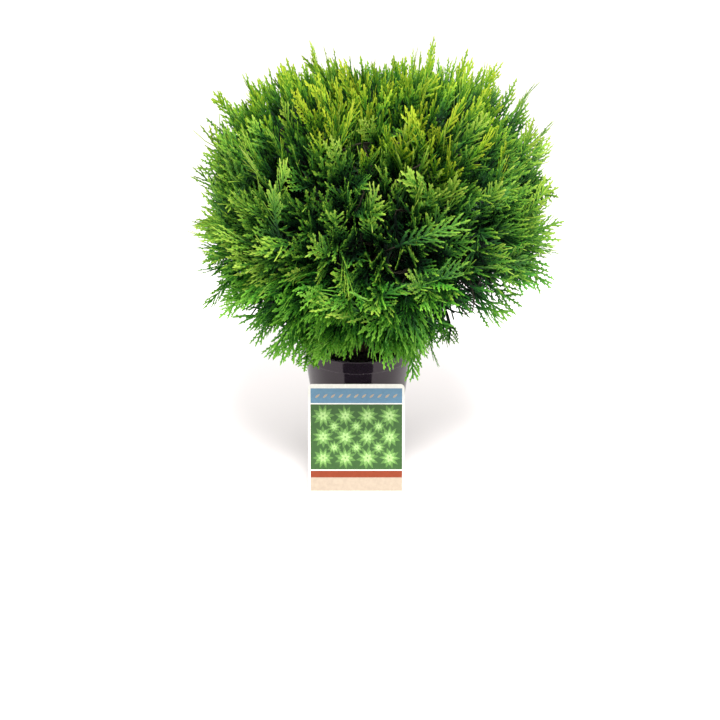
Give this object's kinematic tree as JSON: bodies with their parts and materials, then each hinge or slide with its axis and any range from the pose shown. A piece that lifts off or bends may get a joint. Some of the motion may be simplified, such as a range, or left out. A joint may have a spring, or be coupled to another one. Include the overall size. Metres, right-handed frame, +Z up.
{
  "type": "potted arborvitae",
  "caption": "Round dwarf arborvitae shrub with dense flat sprays on a short trunk, in a tapered nursery pot of soil with a picture label leaning on it.",
  "frame": {"origin": "centre of the pot's flat underside", "axes": "+Z up along the pot's axis, -Y towards the front where the label leans, +X to the right seen from the front"},
  "size_m": [0.3177, 0.3138, 0.3769],
  "materials": {
    "foliage_top": "matte",
    "foliage_side": "matte",
    "foliage_low": "matte",
    "bark": "matte",
    "soil": "matte",
    "pot": "gloss",
    "label": "satin"
  },
  "bodies": {
    "root": {"pot": "pot", "potting_soil": "soil", "label_card": "label", "trunk": "bark", "bough_upper_1": "bark", "bough_upper_2": "bark", "bough_upper_3": "bark", "bough_upper_4": "bark", "bough_upper_5": "bark", "bough_middle_1": "bark", "bough_middle_2": "bark", "bough_middle_3": "bark", "bough_middle_4": "bark", "bough_middle_5": "bark", "bough_middle_6": "bark", "bough_middle_7": "bark", "bough_lower_1": "bark", "bough_lower_2": "bark", "bough_lower_3": "bark", "bough_lower_4": "bark", "bough_lower_5": "bark", "foliage_top": "foliage_top", "foliage_upper_1": "foliage_top", "foliage_upper_2": "foliage_top", "foliage_upper_3": "foliage_top", "foliage_upper_4": "foliage_top", "foliage_upper_5": "foliage_top", "foliage_middle_1": "foliage_side", "foliage_middle_2": "foliage_side", "foliage_middle_3": "foliage_side", "foliage_middle_4": "foliage_side", "foliage_middle_5": "foliage_side", "foliage_middle_6": "foliage_side", "foliage_middle_7": "foliage_side", "foliage_lower_1": "foliage_low", "foliage_lower_2": "foliage_low", "foliage_lower_3": "foliage_low", "foliage_lower_4": "foliage_low", "foliage_lower_5": "foliage_low"}
  },
  "joints": []
}
